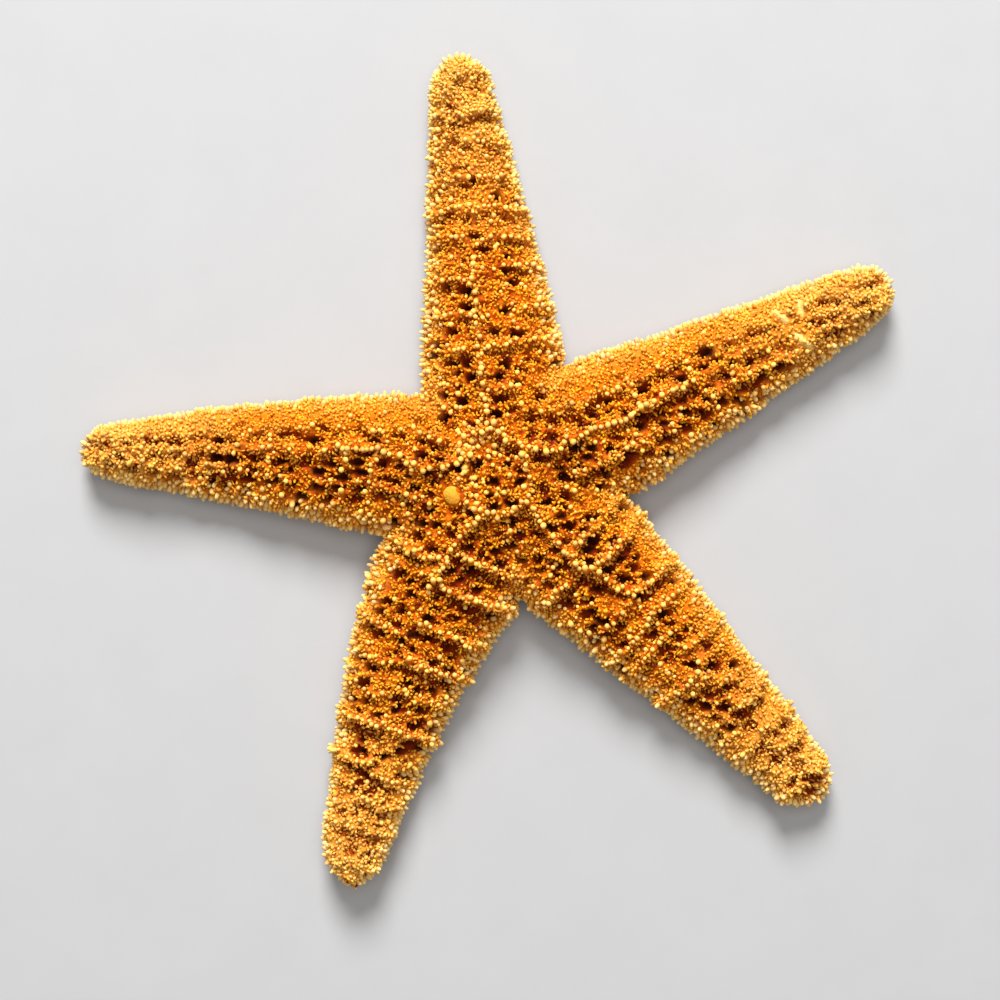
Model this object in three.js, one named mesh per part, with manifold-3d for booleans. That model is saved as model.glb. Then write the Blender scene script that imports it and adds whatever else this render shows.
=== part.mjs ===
// A dried starfish lying flat: one grown body with five tapering arms round a low disc.
// Rows of tubercles run along and across the arms, sunken pits lie between the rows,
// and two rows of spines stand out along every edge. Millimetres, +Z up.
import * as THREE from 'three';
import { mergeVertices } from 'three/addons/utils/BufferGeometryUtils.js';
import Module from 'manifold-3d';

// Driving dimensions

// Each arm: the bearing of its tip seen from the disc (degrees, anticlockwise from +X), the reach from
// the disc's centre to the tips of its end spines, the width over its spines at the root and near the
// end, and the sideways bow of its middle, positive to the left when looking outwards.
const ARMS = [
  { bearing: 26.7, reach: 97, rootWidth: 35, endWidth: 14.5, bow: -0.6 },
  { bearing: 96.2, reach: 95, rootWidth: 34.5, endWidth: 14.5, bow: -1 },
  { bearing: 176.4, reach: 94, rootWidth: 34.5, endWidth: 13.5, bow: -1.4 },
  { bearing: 248.9, reach: 96.5, rootWidth: 36.5, endWidth: 14, bow: -4.2 },
  { bearing: 315, reach: 100.5, rootWidth: 35.5, endWidth: 15, bow: 0.2 },
];
// The notch after each arm, going anticlockwise, where its edge meets the next arm's.
const NOTCHES = [
  { bearing: 58, reach: 29.5 },
  { bearing: 131.5, reach: 29.8 },
  { bearing: 203, reach: 30 },
  { bearing: 278.5, reach: 31 },
  { bearing: 349.5, reach: 33 },
];
// The disc's centre, seen from the point under the middle of the whole outline.
const DISC_CENTRE = new THREE.Vector3(3.3, -2.2, 0);

const DISC_HEIGHT = 18.5;
const ROOT_HEIGHT = 17;
const END_HEIGHT = 8.5;
const END_LIFT = 2.5; // how far the end of an arm curls up off the surface
const LIFT_FROM = 0.72; // share of the arm's length where the curl begins
const EDGE_SHARE = 0.36; // height of the widest line, as a share of the arm's height
const SOLE_SHARE = 0.7; // half width of the flat sole, as a share of the arm's half width
const NOTCH_SOLE_SHARE = 0.82; // the same at the notches
const ROOF_SHARE = 0.35; // how far the section leans from a round dome to a ridged roof

const GROOVE_SHARE = 0.24; // half width of the groove under an arm, as a share of its half width
const GROOVE_DEPTH = 3;
const MOUTH_DEPTH = 6.5;
const MOUTH_SHARE = 0.4; // radius of the mouth, as a share of the disc

const SPINE = 2; // the spines along the edges
const SPINE_DROOP = 0.15; // how far a spine points down for each millimetre outwards
const RIDGE_TUBERCLE = 1.7; // on the ridge along an arm's middle
const ROW_TUBERCLE = 1.3; // on the other rows
const PIT = 0.9;

const PLATE_BEARING = 203; // the smooth sieve plate, between two arms
const PLATE_DISTANCE = 11.5;
const PLATE_DIAMETER = 3.6;
const PLATE_TOP = 18.4;
const PLATE_SIDES = 12;

const DISC_STEPS = 6;
const ARM_STEPS = 22;
const END_CROWDING = 1.25; // above 0, the steps crowd towards the end of the arm
const COLUMNS = 11; // across the back of an arm; odd, so that one runs along its middle
const SIDE_ROW = 3; // columns from the middle row to the row on each side of it
const RIB_PITCH = 3; // steps from one cross row to the next
const FLANK_ROWS = 2;
const SOLE_LINES = [-1, -GROOVE_SHARE, 0, GROOVE_SHARE, 1]; // across the sole, as shares of its half width
const WELD = 1e-3; // points nearer than this are one

const STEPS = DISC_STEPS + ARM_STEPS;
const MIDDLE = (COLUMNS - 1) / 2;
const { lerp, smoothstep, degToRad } = THREE.MathUtils;
const UP = new THREE.Vector3(0, 0, 1);
const heading = (degrees) => new THREE.Vector3(1, 0, 0).applyAxisAngle(UP, degToRad(degrees));

// The plan of an arm

const notchPoint = (index, share) => {
  const notch = NOTCHES.at(index % NOTCHES.length);
  return heading(notch.bearing).multiplyScalar((notch.reach - SPINE) * share);
};

const arms = ARMS.map((size, index) => {
  const out = heading(size.bearing);
  const root = (notchPoint(index, 1).dot(out) + notchPoint(index - 1, 1).dot(out)) / 2;
  return { ...size, index, out, left: heading(size.bearing + 90), root, end: size.reach - SPINE };
});

const distanceAt = (arm, step) => {
  if (step <= DISC_STEPS) return (arm.root * step) / DISC_STEPS;
  const share = (step - DISC_STEPS) / ARM_STEPS;
  return lerp(arm.root, arm.end, Math.sin(share * END_CROWDING) / Math.sin(END_CROWDING));
};

const alongArm = (arm, distance) => Math.max(0, (distance - arm.root) / (arm.end - arm.root));

const middleAt = (arm, distance) =>
  arm.out.clone().multiplyScalar(distance)
    .addScaledVector(arm.left, arm.bow * Math.sin((Math.PI * distance) / arm.end));

const halfWidthAt = (arm, distance) =>
  lerp(arm.rootWidth, arm.endWidth, alongArm(arm, distance)) / 2 - SPINE;

// 1 along the arm, falling to 0 round its blunt end.
const roundingAt = (arm, distance) => {
  const start = arm.end - arm.endWidth / 2;
  const past = Math.max(0, (distance - start) / (arm.end - start));
  return Math.sqrt(Math.max(0, 1 - past * past));
};

// Heights along an arm

const heightAt = (arm, distance) =>
  distance < arm.root
    ? lerp(DISC_HEIGHT, ROOT_HEIGHT, smoothstep(distance, 0, arm.root))
    : lerp(ROOT_HEIGHT, END_HEIGHT, alongArm(arm, distance));

const liftAt = (arm, distance) => END_LIFT * smoothstep(distance, LIFT_FROM * arm.end, arm.end);

// The line of a section, 1 over the arm's middle and 0 at its edges.
const dome = (across) =>
  lerp(Math.sqrt(Math.max(0, 1 - across * across)), 1 - Math.abs(across), ROOF_SHARE);

// A point of the surface. across runs from -1 on the right to 1 on the left, tuck from 0 at the widest
// line to 1 at the edge of the sole, and section gives the height from those of the back and the edge.
function surfacePoint(arm, step, across, tuck, section) {
  const distance = distanceAt(arm, step);
  const discShare = Math.min(1, step / DISC_STEPS);
  const rounding = roundingAt(arm, distance);
  const back = heightAt(arm, distance);
  const edge = back * EDGE_SHARE;
  const z = lerp(edge, section(back, edge, discShare), rounding) + liftAt(arm, distance);
  const point = middleAt(arm, distance);
  if (step <= DISC_STEPS) {
    const notch = notchPoint(across > 0 ? arm.index : arm.index - 1, discShare * lerp(1, NOTCH_SOLE_SHARE, tuck));
    return point.lerp(notch, Math.abs(across)).setZ(z);
  }
  const half = halfWidthAt(arm, distance) * rounding * lerp(1, SOLE_SHARE, tuck);
  return point.addScaledVector(arm.left, across * half).setZ(z);
}

const backPoint = (arm, step, column) => {
  const across = Math.sin((column / COLUMNS - 0.5) * Math.PI);
  return surfacePoint(arm, step, across, 0, (back, edge, discShare) =>
    lerp(edge, back, dome(across * discShare * discShare)));
};

const flankPoint = (arm, step, side, row) => {
  const down = row / FLANK_ROWS;
  return surfacePoint(arm, step, side, down * down, (back, edge) => edge * (1 - down));
};

const solePoint = (arm, step, line) => {
  const across = SOLE_LINES[line];
  return surfacePoint(arm, step, across, 1, (back, edge, discShare) => {
    const mouth = MOUTH_DEPTH * (1 - smoothstep(discShare, 0, MOUTH_SHARE));
    return across === 0 ? Math.max(mouth, Math.min(GROOVE_DEPTH, edge)) : mouth;
  });
};

// The surface, cell by cell

const corners = [];
const triangle = (a, b, c) => {
  const flat = a.distanceTo(b) < WELD || b.distanceTo(c) < WELD || c.distanceTo(a) < WELD;
  if (!flat) corners.push(a, b, c);
};

const middleOf = (cell) =>
  cell.reduce((sum, corner) => sum.add(corner), new THREE.Vector3()).divideScalar(cell.length);

const facingOf = ([a, b, c, d]) =>
  new THREE.Vector3().crossVectors(c.clone().sub(a), d.clone().sub(b)).normalize();

// A cell whose middle is pushed out to a tubercle or a spine, or in to a pit.
function pushedCell(cell, push) {
  const peak = middleOf(cell).add(push);
  cell.forEach((corner, i) => triangle(corner, cell[(i + 1) % cell.length], peak));
}

function tubercleAt(step, column) {
  if (column === MIDDLE) return RIDGE_TUBERCLE;
  const onSideRow = Math.abs(column - MIDDLE) === SIDE_ROW;
  const onEdgeRow = column === 0 || column === COLUMNS - 1;
  return onSideRow || onEdgeRow || step % RIB_PITCH === 0 ? ROW_TUBERCLE : -PIT;
}

function addBack(arm, step) {
  const fade = Math.min(1, (step + 1) / DISC_STEPS) * roundingAt(arm, distanceAt(arm, step));
  for (let column = 0; column < COLUMNS; column++) {
    const cell = [
      backPoint(arm, step, column + 1),
      backPoint(arm, step, column),
      backPoint(arm, step + 1, column),
      backPoint(arm, step + 1, column + 1),
    ];
    pushedCell(cell, facingOf(cell).multiplyScalar(tubercleAt(step, column) * fade));
  }
}

function addFlank(arm, step, side) {
  for (let row = 0; row < FLANK_ROWS; row++) {
    const cell = [
      flankPoint(arm, step, side, row),
      flankPoint(arm, step, side, row + 1),
      flankPoint(arm, step + 1, side, row + 1),
      flankPoint(arm, step + 1, side, row),
    ];
    if (side > 0) cell.reverse();
    const push = facingOf(cell).setZ(0).normalize().setZ(-SPINE_DROOP).multiplyScalar(SPINE);
    pushedCell(cell, push);
  }
}

function addSole(arm, step) {
  for (let line = 0; line < SOLE_LINES.length - 1; line++) {
    const near = [solePoint(arm, step, line), solePoint(arm, step, line + 1)];
    const far = [solePoint(arm, step + 1, line), solePoint(arm, step + 1, line + 1)];
    triangle(near[0], near[1], far[1]);
    triangle(near[0], far[1], far[0]);
  }
}

for (const arm of arms) {
  for (let step = 0; step < STEPS; step++) {
    addBack(arm, step);
    addSole(arm, step);
    if (step >= DISC_STEPS) [-1, 1].forEach((side) => addFlank(arm, step, side));
  }
}

// The body and its sieve plate, joined into one solid

const { Manifold, Mesh: SolidMesh } = await Module().then((library) => {
  library.setup();
  return library;
});

function solidOf(geometry) {
  const bare = geometry.clone().deleteAttribute('normal').deleteAttribute('uv');
  const merged = mergeVertices(bare, WELD);
  return new Manifold(new SolidMesh({
    numProp: 3,
    vertProperties: merged.attributes.position.array,
    triVerts: new Uint32Array(merged.index.array),
  }));
}

function geometryOf(solid) {
  const { vertProperties, triVerts } = solid.getMesh();
  const geometry = new THREE.BufferGeometry();
  geometry.setAttribute('position', new THREE.BufferAttribute(vertProperties, 3));
  geometry.setIndex(new THREE.BufferAttribute(triVerts, 1));
  geometry.computeVertexNormals();
  return geometry;
}

const body = new THREE.BufferGeometry().setFromPoints(corners);

const plate = new THREE.SphereGeometry(PLATE_DIAMETER / 2, PLATE_SIDES, PLATE_SIDES / 2);
plate.rotateX(Math.PI / 2);
plate.translate(0, 0, PLATE_TOP - PLATE_DIAMETER / 2);
const platePlace = heading(PLATE_BEARING).multiplyScalar(PLATE_DISTANCE);
plate.translate(platePlace.x, platePlace.y, 0);

const skin = new THREE.MeshStandardMaterial({ color: 0xd08a1e, roughness: 0.85, metalness: 0 });
const starfish = new THREE.Mesh(geometryOf(solidOf(body).add(solidOf(plate))), skin);
starfish.name = 'starfish';
starfish.position.copy(DISC_CENTRE);

const part = new THREE.Group();
part.add(starfish);
export default part;
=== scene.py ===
import math

import bpy
import numpy as np
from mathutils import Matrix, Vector, noise
from mathutils.bvhtree import BVHTree
from mathutils.kdtree import KDTree


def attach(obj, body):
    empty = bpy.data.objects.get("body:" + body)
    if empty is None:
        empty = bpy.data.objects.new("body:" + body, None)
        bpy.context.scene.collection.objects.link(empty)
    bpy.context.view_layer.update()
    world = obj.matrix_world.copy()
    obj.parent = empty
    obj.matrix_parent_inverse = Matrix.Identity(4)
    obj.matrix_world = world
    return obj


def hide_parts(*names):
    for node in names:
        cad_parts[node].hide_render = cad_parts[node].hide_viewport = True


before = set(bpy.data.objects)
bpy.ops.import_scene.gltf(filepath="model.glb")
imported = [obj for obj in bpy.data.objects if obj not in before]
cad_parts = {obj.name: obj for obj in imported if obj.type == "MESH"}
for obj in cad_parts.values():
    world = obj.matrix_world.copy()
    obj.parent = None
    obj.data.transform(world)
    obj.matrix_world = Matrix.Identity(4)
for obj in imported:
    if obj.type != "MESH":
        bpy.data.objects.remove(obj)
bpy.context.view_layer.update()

# The view, the floor and the light
# The starfish lies on a plain pale floor. The camera looks down on it from a little to its near side,
# and a wide soft light on the far side throws short shadows towards the near side.
MM = 0.001
VIEW_CENTRE = Vector((2.9, -7.3, 5)) * MM
VIEW_WIDTH = 222 * MM
VIEW_DISTANCE = 430 * MM
VIEW_ELEVATION = math.radians(88.5)
SENSOR = 36

camera_data = bpy.data.cameras.new("camera")
camera_data.sensor_width = SENSOR
camera_data.lens = SENSOR * VIEW_DISTANCE / VIEW_WIDTH
camera_data.clip_start = 0.01
camera = bpy.data.objects.new("camera", camera_data)
view_line = Vector((0, -math.cos(VIEW_ELEVATION), math.sin(VIEW_ELEVATION)))
camera.location = VIEW_CENTRE + VIEW_DISTANCE * view_line
camera.rotation_euler = (math.pi / 2 - VIEW_ELEVATION, 0, 0)
bpy.context.scene.collection.objects.link(camera)
bpy.context.scene.camera = camera


class Sum:
    """A number in a node tree, so that shader maths is written as plain sums."""

    def __init__(self, finish, socket):
        self.finish = finish
        self.socket = socket

    def joined(self, operation, first, second):
        return self.finish.node("ShaderNodeMath", {"operation": operation}, {0: first, 1: second})

    def __add__(self, other):
        return self.joined("ADD", self, other)

    def __radd__(self, other):
        return self.joined("ADD", other, self)

    def __sub__(self, other):
        return self.joined("SUBTRACT", self, other)

    def __rsub__(self, other):
        return self.joined("SUBTRACT", other, self)

    def __mul__(self, other):
        return self.joined("MULTIPLY", self, other)


class Finish:
    """A material, with its nodes made one at a time and its shader's sockets set by name."""

    def __init__(self, name, **steady):
        self.material = bpy.data.materials.new(name)
        self.material.use_nodes = True
        self.tree = self.material.node_tree
        self.shader = self.tree.nodes["Principled BSDF"]
        for socket, value in steady.items():
            self.shader.inputs[socket.replace("_", " ")].default_value = value

    def node(self, kind, settings=None, sockets=None, output=0):
        node = self.tree.nodes.new(kind)
        for setting, value in (settings or {}).items():
            if setting == "stops":
                ramp = node.color_ramp.elements
                while len(ramp) < len(value):
                    ramp.new(1)
                for stop, (position, colour) in zip(ramp, value):
                    stop.position = position
                    stop.color = (*colour, 1)
            else:
                setattr(node, setting, value)
        for socket, value in (sockets or {}).items():
            self.feed(node.inputs[socket], value)
        return Sum(self, node.outputs[output])

    def feed(self, socket, value):
        if isinstance(value, Sum):
            self.tree.links.new(value.socket, socket)
        elif isinstance(value, tuple) and len(value) == 3 and socket.type == "RGBA":
            socket.default_value = (*value, 1)
        else:
            socket.default_value = value

    def attribute(self, name):
        return self.node("ShaderNodeAttribute", {"attribute_name": name}, output="Fac")

    def mixed(self, share, first, second):
        settings = {"data_type": "RGBA", "clamp_factor": True}
        return self.node("ShaderNodeMix", settings, {0: share, 6: first, 7: second}, output=2)

    def grain(self, scale, detail=3):
        place = self.node("ShaderNodeTexCoord", output="Object")
        sockets = {"Vector": place, "Scale": scale, "Detail": detail, "Roughness": 0.6}
        return self.node("ShaderNodeTexNoise", None, sockets, output="Fac")

    def bump(self, height, distance, strength):
        sockets = {"Height": height, "Distance": distance, "Strength": strength}
        self.feed(self.shader.inputs["Normal"], self.node("ShaderNodeBump", None, sockets))

    def base(self, colour):
        self.feed(self.shader.inputs["Base Color"], colour)


FLOOR_SIZE = 6
FLOOR_GREY = (0.36, 0.36, 0.365)
FLOOR_PALE = (0.385, 0.385, 0.39)
bpy.ops.object.select_all(action="DESELECT")
bpy.ops.mesh.primitive_plane_add(size=FLOOR_SIZE)
floor = bpy.context.object
floor.name = "floor"
floor_finish = Finish("floor_paper", Roughness=0.9)
floor_finish.base(floor_finish.mixed(floor_finish.grain(60), FLOOR_GREY, FLOOR_PALE))
floor.data.materials.append(floor_finish.material)


def soft_light(name, place, size, power):
    data = bpy.data.lights.new(name, "AREA")
    data.shape = "DISK"
    data.size = size
    data.energy = power
    lamp = bpy.data.objects.new(name, data)
    lamp.location = place
    lamp.rotation_euler = (VIEW_CENTRE - lamp.location).to_track_quat("-Z", "Y").to_euler()
    bpy.context.scene.collection.objects.link(lamp)


soft_light("key_light", place=Vector((-0.12, 1.27, 1.08)), size=0.75, power=56)
soft_light("fill_light", place=Vector((0.10, 0.05, 1.30)), size=1.20, power=9.5)
ROOM_COLOUR = (1, 0.95, 0.88, 1)
ROOM_STRENGTH = 0.24
world = bpy.data.worlds.new("room")
world.use_nodes = True
room_light = world.node_tree.nodes["Background"]
room_light.inputs["Color"].default_value = ROOM_COLOUR
room_light.inputs["Strength"].default_value = ROOM_STRENGTH
bpy.context.scene.world = world
bpy.context.scene.view_settings.view_transform = "Standard"

# The skin
# A tough leathery wall that dried hard over a net of small chalk plates: five tapering arms that run
# together in a low disc. It stands up under the rows of tubercles and sinks into pits between them, which
# are painted near black as painted shade.
CENTRE = np.array([3.3, -2.2])
ROOT = 25
DISC_HEIGHT = 18
ROOT_HEIGHT = 16.5
END_HEIGHT = 8
END_LIFT = 2.5
EDGE_SHARE = 0.36
SOLE_HEIGHT = 1.2
EDGE_FRINGE = 2.1
END_FRINGE = 1.2
SKIN_GRAIN = 0.575
SKIN_SMOOTHING = 14
LIFT_FROM = 0.72
SEED = 11
dice = np.random.default_rng(SEED)


def eased(low, high, value):
    """A smooth step from 0 at low to 1 at high."""
    share = np.clip((value - low) / (high - low), 0, 1)
    return share * share * (3 - 2 * share)


class Arm:
    """One arm, told by distance out along its middle line and by offset to the left of that line."""

    def __init__(self, name, bearing, reach, root_width, end_width, bow, clearness, ridge):
        turn = math.radians(bearing)
        self.name = name
        self.turn = turn
        self.out = np.array([math.cos(turn), math.sin(turn)])
        self.left = np.array([-math.sin(turn), math.cos(turn)])
        self.end = reach - END_FRINGE
        self.round_start = self.end - end_width / 2
        self.root_width = root_width
        self.end_width = end_width
        self.bow = bow
        self.ridge_clear, self.row_clear, self.rib_clear = clearness
        self.ridge = np.array([*ridge, (self.end, 0)])

    def along(self, distance):
        return np.clip((distance - ROOT) / (self.end - ROOT), 0, 1)

    def half_width(self, distance):
        share = self.along(distance)
        return (self.root_width * (1 - share) + self.end_width * share) / 2 - EDGE_FRINGE

    def rounding(self, distance):
        past = np.clip((distance - self.round_start) / (self.end - self.round_start), 0, 1)
        return np.sqrt(1 - past * past)

    def height(self, distance):
        inner = eased(0, ROOT, distance)
        share = self.along(distance)
        return (DISC_HEIGHT * (1 - inner) + ROOT_HEIGHT * inner) * (1 - share) + END_HEIGHT * share

    def lift(self, distance):
        return END_LIFT * eased(LIFT_FROM * self.end, self.end, distance)

    def bend(self, distance):
        return self.bow * np.sin(np.pi * np.clip(distance / self.end, 0, 1))

    def plan(self, distance, offset):
        sideways = np.asarray(offset) + self.bend(distance)
        return CENTRE + np.multiply.outer(distance, self.out) + np.multiply.outer(sideways, self.left)

    def told(self, plan):
        distance = (plan - CENTRE) @ self.out
        return distance, (plan - CENTRE) @ self.left - self.bend(distance)

    def ridge_offset(self, distance):
        return np.interp(distance, self.ridge[:, 0], self.ridge[:, 1])


# Each arm's name, bearing, reach, widths at root and end, and bow, then how clearly its ridge, side rows
# and ribs stand out, and the line of its ridge.
ARMS = [
    Arm("right", 26.7, 97, 35, 14.5, -0.6, (1, 0.8, 0.4),
        [(6.5, 3.6), (9, 2.4), (13, 0), (20, 0.2), (32, -0.5), (50, 0.6)]),
    Arm("top", 96.2, 95, 34.5, 14.5, -1, (0.85, 0.3, 0.6),
        [(10, 0.7), (13, 1.9), (19, 2.9), (29, 2.8), (40, 2.6), (51, 2.2)]),
    Arm("left", 176.4, 94, 34.5, 13.5, -1.4, (1, 0.8, 0.4),
        [(7, -3), (13, -0.2), (17, 0.3), (22, -1.5), (26, -3), (33, -2.6), (40, -1.4)]),
    Arm("lower_left", 248.9, 96.5, 36.5, 14, -4.2, (0.9, 0.2, 1),
        [(7, 5), (9, 0.9), (13, -1), (19, -2), (24, -1.9), (33, -2.2)]),
    Arm("lower_right", 315, 100.5, 35.5, 15, 0.2, (1, 0.2, 1),
        [(7.6, 0.2), (15, -1.6), (21, -2), (25.5, -2.2), (32.5, 0.1), (38, 1)]),
]


def own_arm(plan):
    """The number of the arm that each point of the plan lies on, with its distance and offset there."""
    told = np.array([arm.told(plan) for arm in ARMS])
    owner = told[:, 0].argmax(axis=0)
    ids = np.arange(len(plan))
    return owner, told[owner, 0, ids], told[owner, 1, ids]


def own_half(owner, distance):
    """The half width of each point's own arm, at the point's distance."""
    return np.array([arm.half_width(distance) for arm in ARMS])[owner, np.arange(len(owner))]


def own_reach(owner, distance):
    """How far out each point lies on its own arm, 1 at the end."""
    return distance / np.array([arm.end for arm in ARMS])[owner]


def far_side(plan):
    """How far towards its arm's far edge each point lies, 1 at the edge of an arm that lies across."""
    owner, distance, offset = own_arm(plan)
    return np.array([arm.left[1] for arm in ARMS])[owner] * offset / own_half(owner, distance)


def set_in_order(piece):
    """Number a piece's points and faces by where they lie, so that every run gives the same mesh."""
    points = np.array([point.co for point in piece.data.vertices])
    order = np.lexsort(points.T)
    rank = np.argsort(order)
    faces = []
    for face in piece.data.polygons:
        ring = [int(rank[corner]) for corner in face.vertices]
        first = ring.index(min(ring))
        faces.append(ring[first:] + ring[:first])
    ordered = bpy.data.meshes.new(piece.name)
    ordered.from_pydata(points[order], [], sorted(faces))
    piece.data = ordered


SECTION_SIDES = 32
STRAIGHT_STATIONS = 14
END_STATIONS = 8
END_TURN = 1.5


def loft_arm(arm):
    """An arm drawn out station by station from a filled ring in the disc, and cut flat at the sole."""
    turns = np.linspace(0, END_TURN, END_STATIONS)
    round_end = arm.round_start + (arm.end - arm.round_start) * np.sin(turns)
    stations = [*np.linspace(0, arm.round_start, STRAIGHT_STATIONS)[:-1], *round_end]
    last = None
    for distance in stations:
        height = arm.height(distance)
        rounding = arm.rounding(distance)
        middle = height * EDGE_SHARE + arm.lift(distance)
        spot = Vector((*arm.plan(distance, 0), middle)) * MM
        across = arm.half_width(distance) * rounding
        up = height * (1 - EDGE_SHARE) * rounding
        if last is None:
            bpy.ops.mesh.primitive_circle_add(vertices=SECTION_SIDES, radius=MM, fill_type="NGON",
                                              enter_editmode=True, location=spot,
                                              rotation=(0, math.pi / 2, arm.turn))
            growth = (up, across, 1)
        else:
            bpy.ops.mesh.extrude_region_move(TRANSFORM_OT_translate={"value": spot - last[0]})
            growth = (up / last[1], across / last[2], 1)
        bpy.ops.transform.resize(value=growth, orient_type="LOCAL", center_override=spot)
        last = (spot, up, across)
    bpy.ops.mesh.select_all(action="SELECT")
    bpy.ops.mesh.normals_make_consistent(inside=False)
    bpy.ops.mesh.bisect(plane_co=(0, 0, SOLE_HEIGHT * MM), plane_no=(0, 0, 1),
                        use_fill=True, clear_inner=True)
    bpy.ops.object.mode_set(mode="OBJECT")
    set_in_order(bpy.context.object)
    return bpy.context.object


def finish_with(piece, kind, **settings):
    """Put a modifier on a piece and apply it."""
    modifier = piece.modifiers.new(kind.lower(), kind)
    for setting, value in settings.items():
        setattr(modifier, setting, value)
    bpy.context.view_layer.objects.active = piece
    bpy.ops.object.modifier_apply(modifier=modifier.name)


bpy.ops.object.select_all(action="DESELECT")
lofts = [loft_arm(arm) for arm in ARMS]
for loft in lofts:
    loft.select_set(True)
bpy.ops.object.join()
skin = bpy.context.object
skin.name = "skin"
bpy.ops.object.transform_apply(location=True, rotation=True, scale=True)
finish_with(skin, "REMESH", mode="VOXEL", voxel_size=SKIN_GRAIN * MM)
finish_with(skin, "SMOOTH", factor=0.5, iterations=SKIN_SMOOTHING)


def read_mesh(piece):
    """A piece's points and their normals, in millimetres."""
    count = len(piece.data.vertices)
    points = np.empty(count * 3)
    normals = np.empty(count * 3)
    piece.data.vertices.foreach_get("co", points)
    piece.data.vertex_normals.foreach_get("vector", normals)
    return points.reshape(-1, 3) / MM, normals.reshape(-1, 3)


def write_mesh(piece, points):
    piece.data.vertices.foreach_set("co", (points * MM).ravel())
    piece.data.update()


def write_attribute(mesh, name, values):
    mesh.attributes.new(name, "FLOAT", "POINT").data.foreach_set("value", np.asarray(values, np.float32))


def rumple(points, scale):
    """Smooth noise between -1 and 1 at each point, with lumps of about scale millimetres."""
    return np.array([noise.noise(Vector(point) / scale) for point in points])


def flat(plan):
    """Points of the plan as points in space, at no height."""
    return np.column_stack([plan, np.zeros(len(plan))])


# The lines along which the chalk plates carry tubercles: a ring on the disc, and on each arm a ridge, two
# rows beside it, two near the edges and ribs across. A row's points are in the plan.
RING = [(-6.8, 3.5), (-9.9, 6.2), (-8.4, 8.4), (-4.8, 9.2), (-1.8, 10.1), (1.3, 7.7), (4.2, 6.2),
        (5.3, 3.5), (5.5, -0.4), (5.3, -4.8), (2.2, -8.1), (-2.2, -8.4), (-5.7, -7.5), (-8.1, -5.5),
        (-9.5, -2.2), (-8.1, 0.9), (-6.8, 3.5)]
NOTCH_BEARINGS = (58, 131.5, 203, 278.5, 349.5)
NOTCH_RUN = (12, 25)
CLUSTER = np.array([-5.5, 7.2])
DISC_PATCH = np.array([-1.5, 0.5])
FIRST_RIB = 20
RIB_PITCH = 8
ROW_SHARE = 0.46
EDGE_ROW_SHARE = 0.8


def beads_along(line, gap, width, skip, wander, clear):
    """The tubercles along a line: place, width, how clear the row is there, and 0 for a missing one."""
    line = np.asarray(line, float)
    run = np.concatenate([[0], np.cumsum(np.linalg.norm(np.diff(line, axis=0), axis=1))])
    stops = np.arange(0.3, run[-1], gap)
    places = np.column_stack([np.interp(stops, run, line[:, axis]) for axis in (0, 1)])
    places += dice.normal(0, wander, places.shape)
    widths = width * dice.uniform(0.75, 1.2, len(stops))
    clears = clear * (0.3 + 0.7 * eased(-0.35, 0.2, rumple(flat(places), 5)))
    return np.column_stack([places, widths, clears, dice.random(len(stops)) > skip]).tolist()


def rib_line(arm, distance, side):
    """A rib across one side of an arm, from its ridge to its edge."""
    shares = np.linspace(0.05, 0.98, 9)
    sway = dice.uniform(-0.8, 1.2) * shares + dice.uniform(0.4, 1.4) * np.sin(np.pi * shares)
    offsets = arm.ridge_offset(distance) * (1 - shares) + side * shares * arm.half_width(distance)
    return arm.plan(distance + sway, offsets * arm.rounding(distance + sway))


def bead_patch(middle, radius, count, width):
    """Tubercles strewn over a small patch of the disc."""
    spots = CENTRE + middle + dice.uniform(-radius, radius, (count, 2))
    return [(*spot, width * dice.uniform(0.75, 1.15), 0, 1) for spot in spots]


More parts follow.
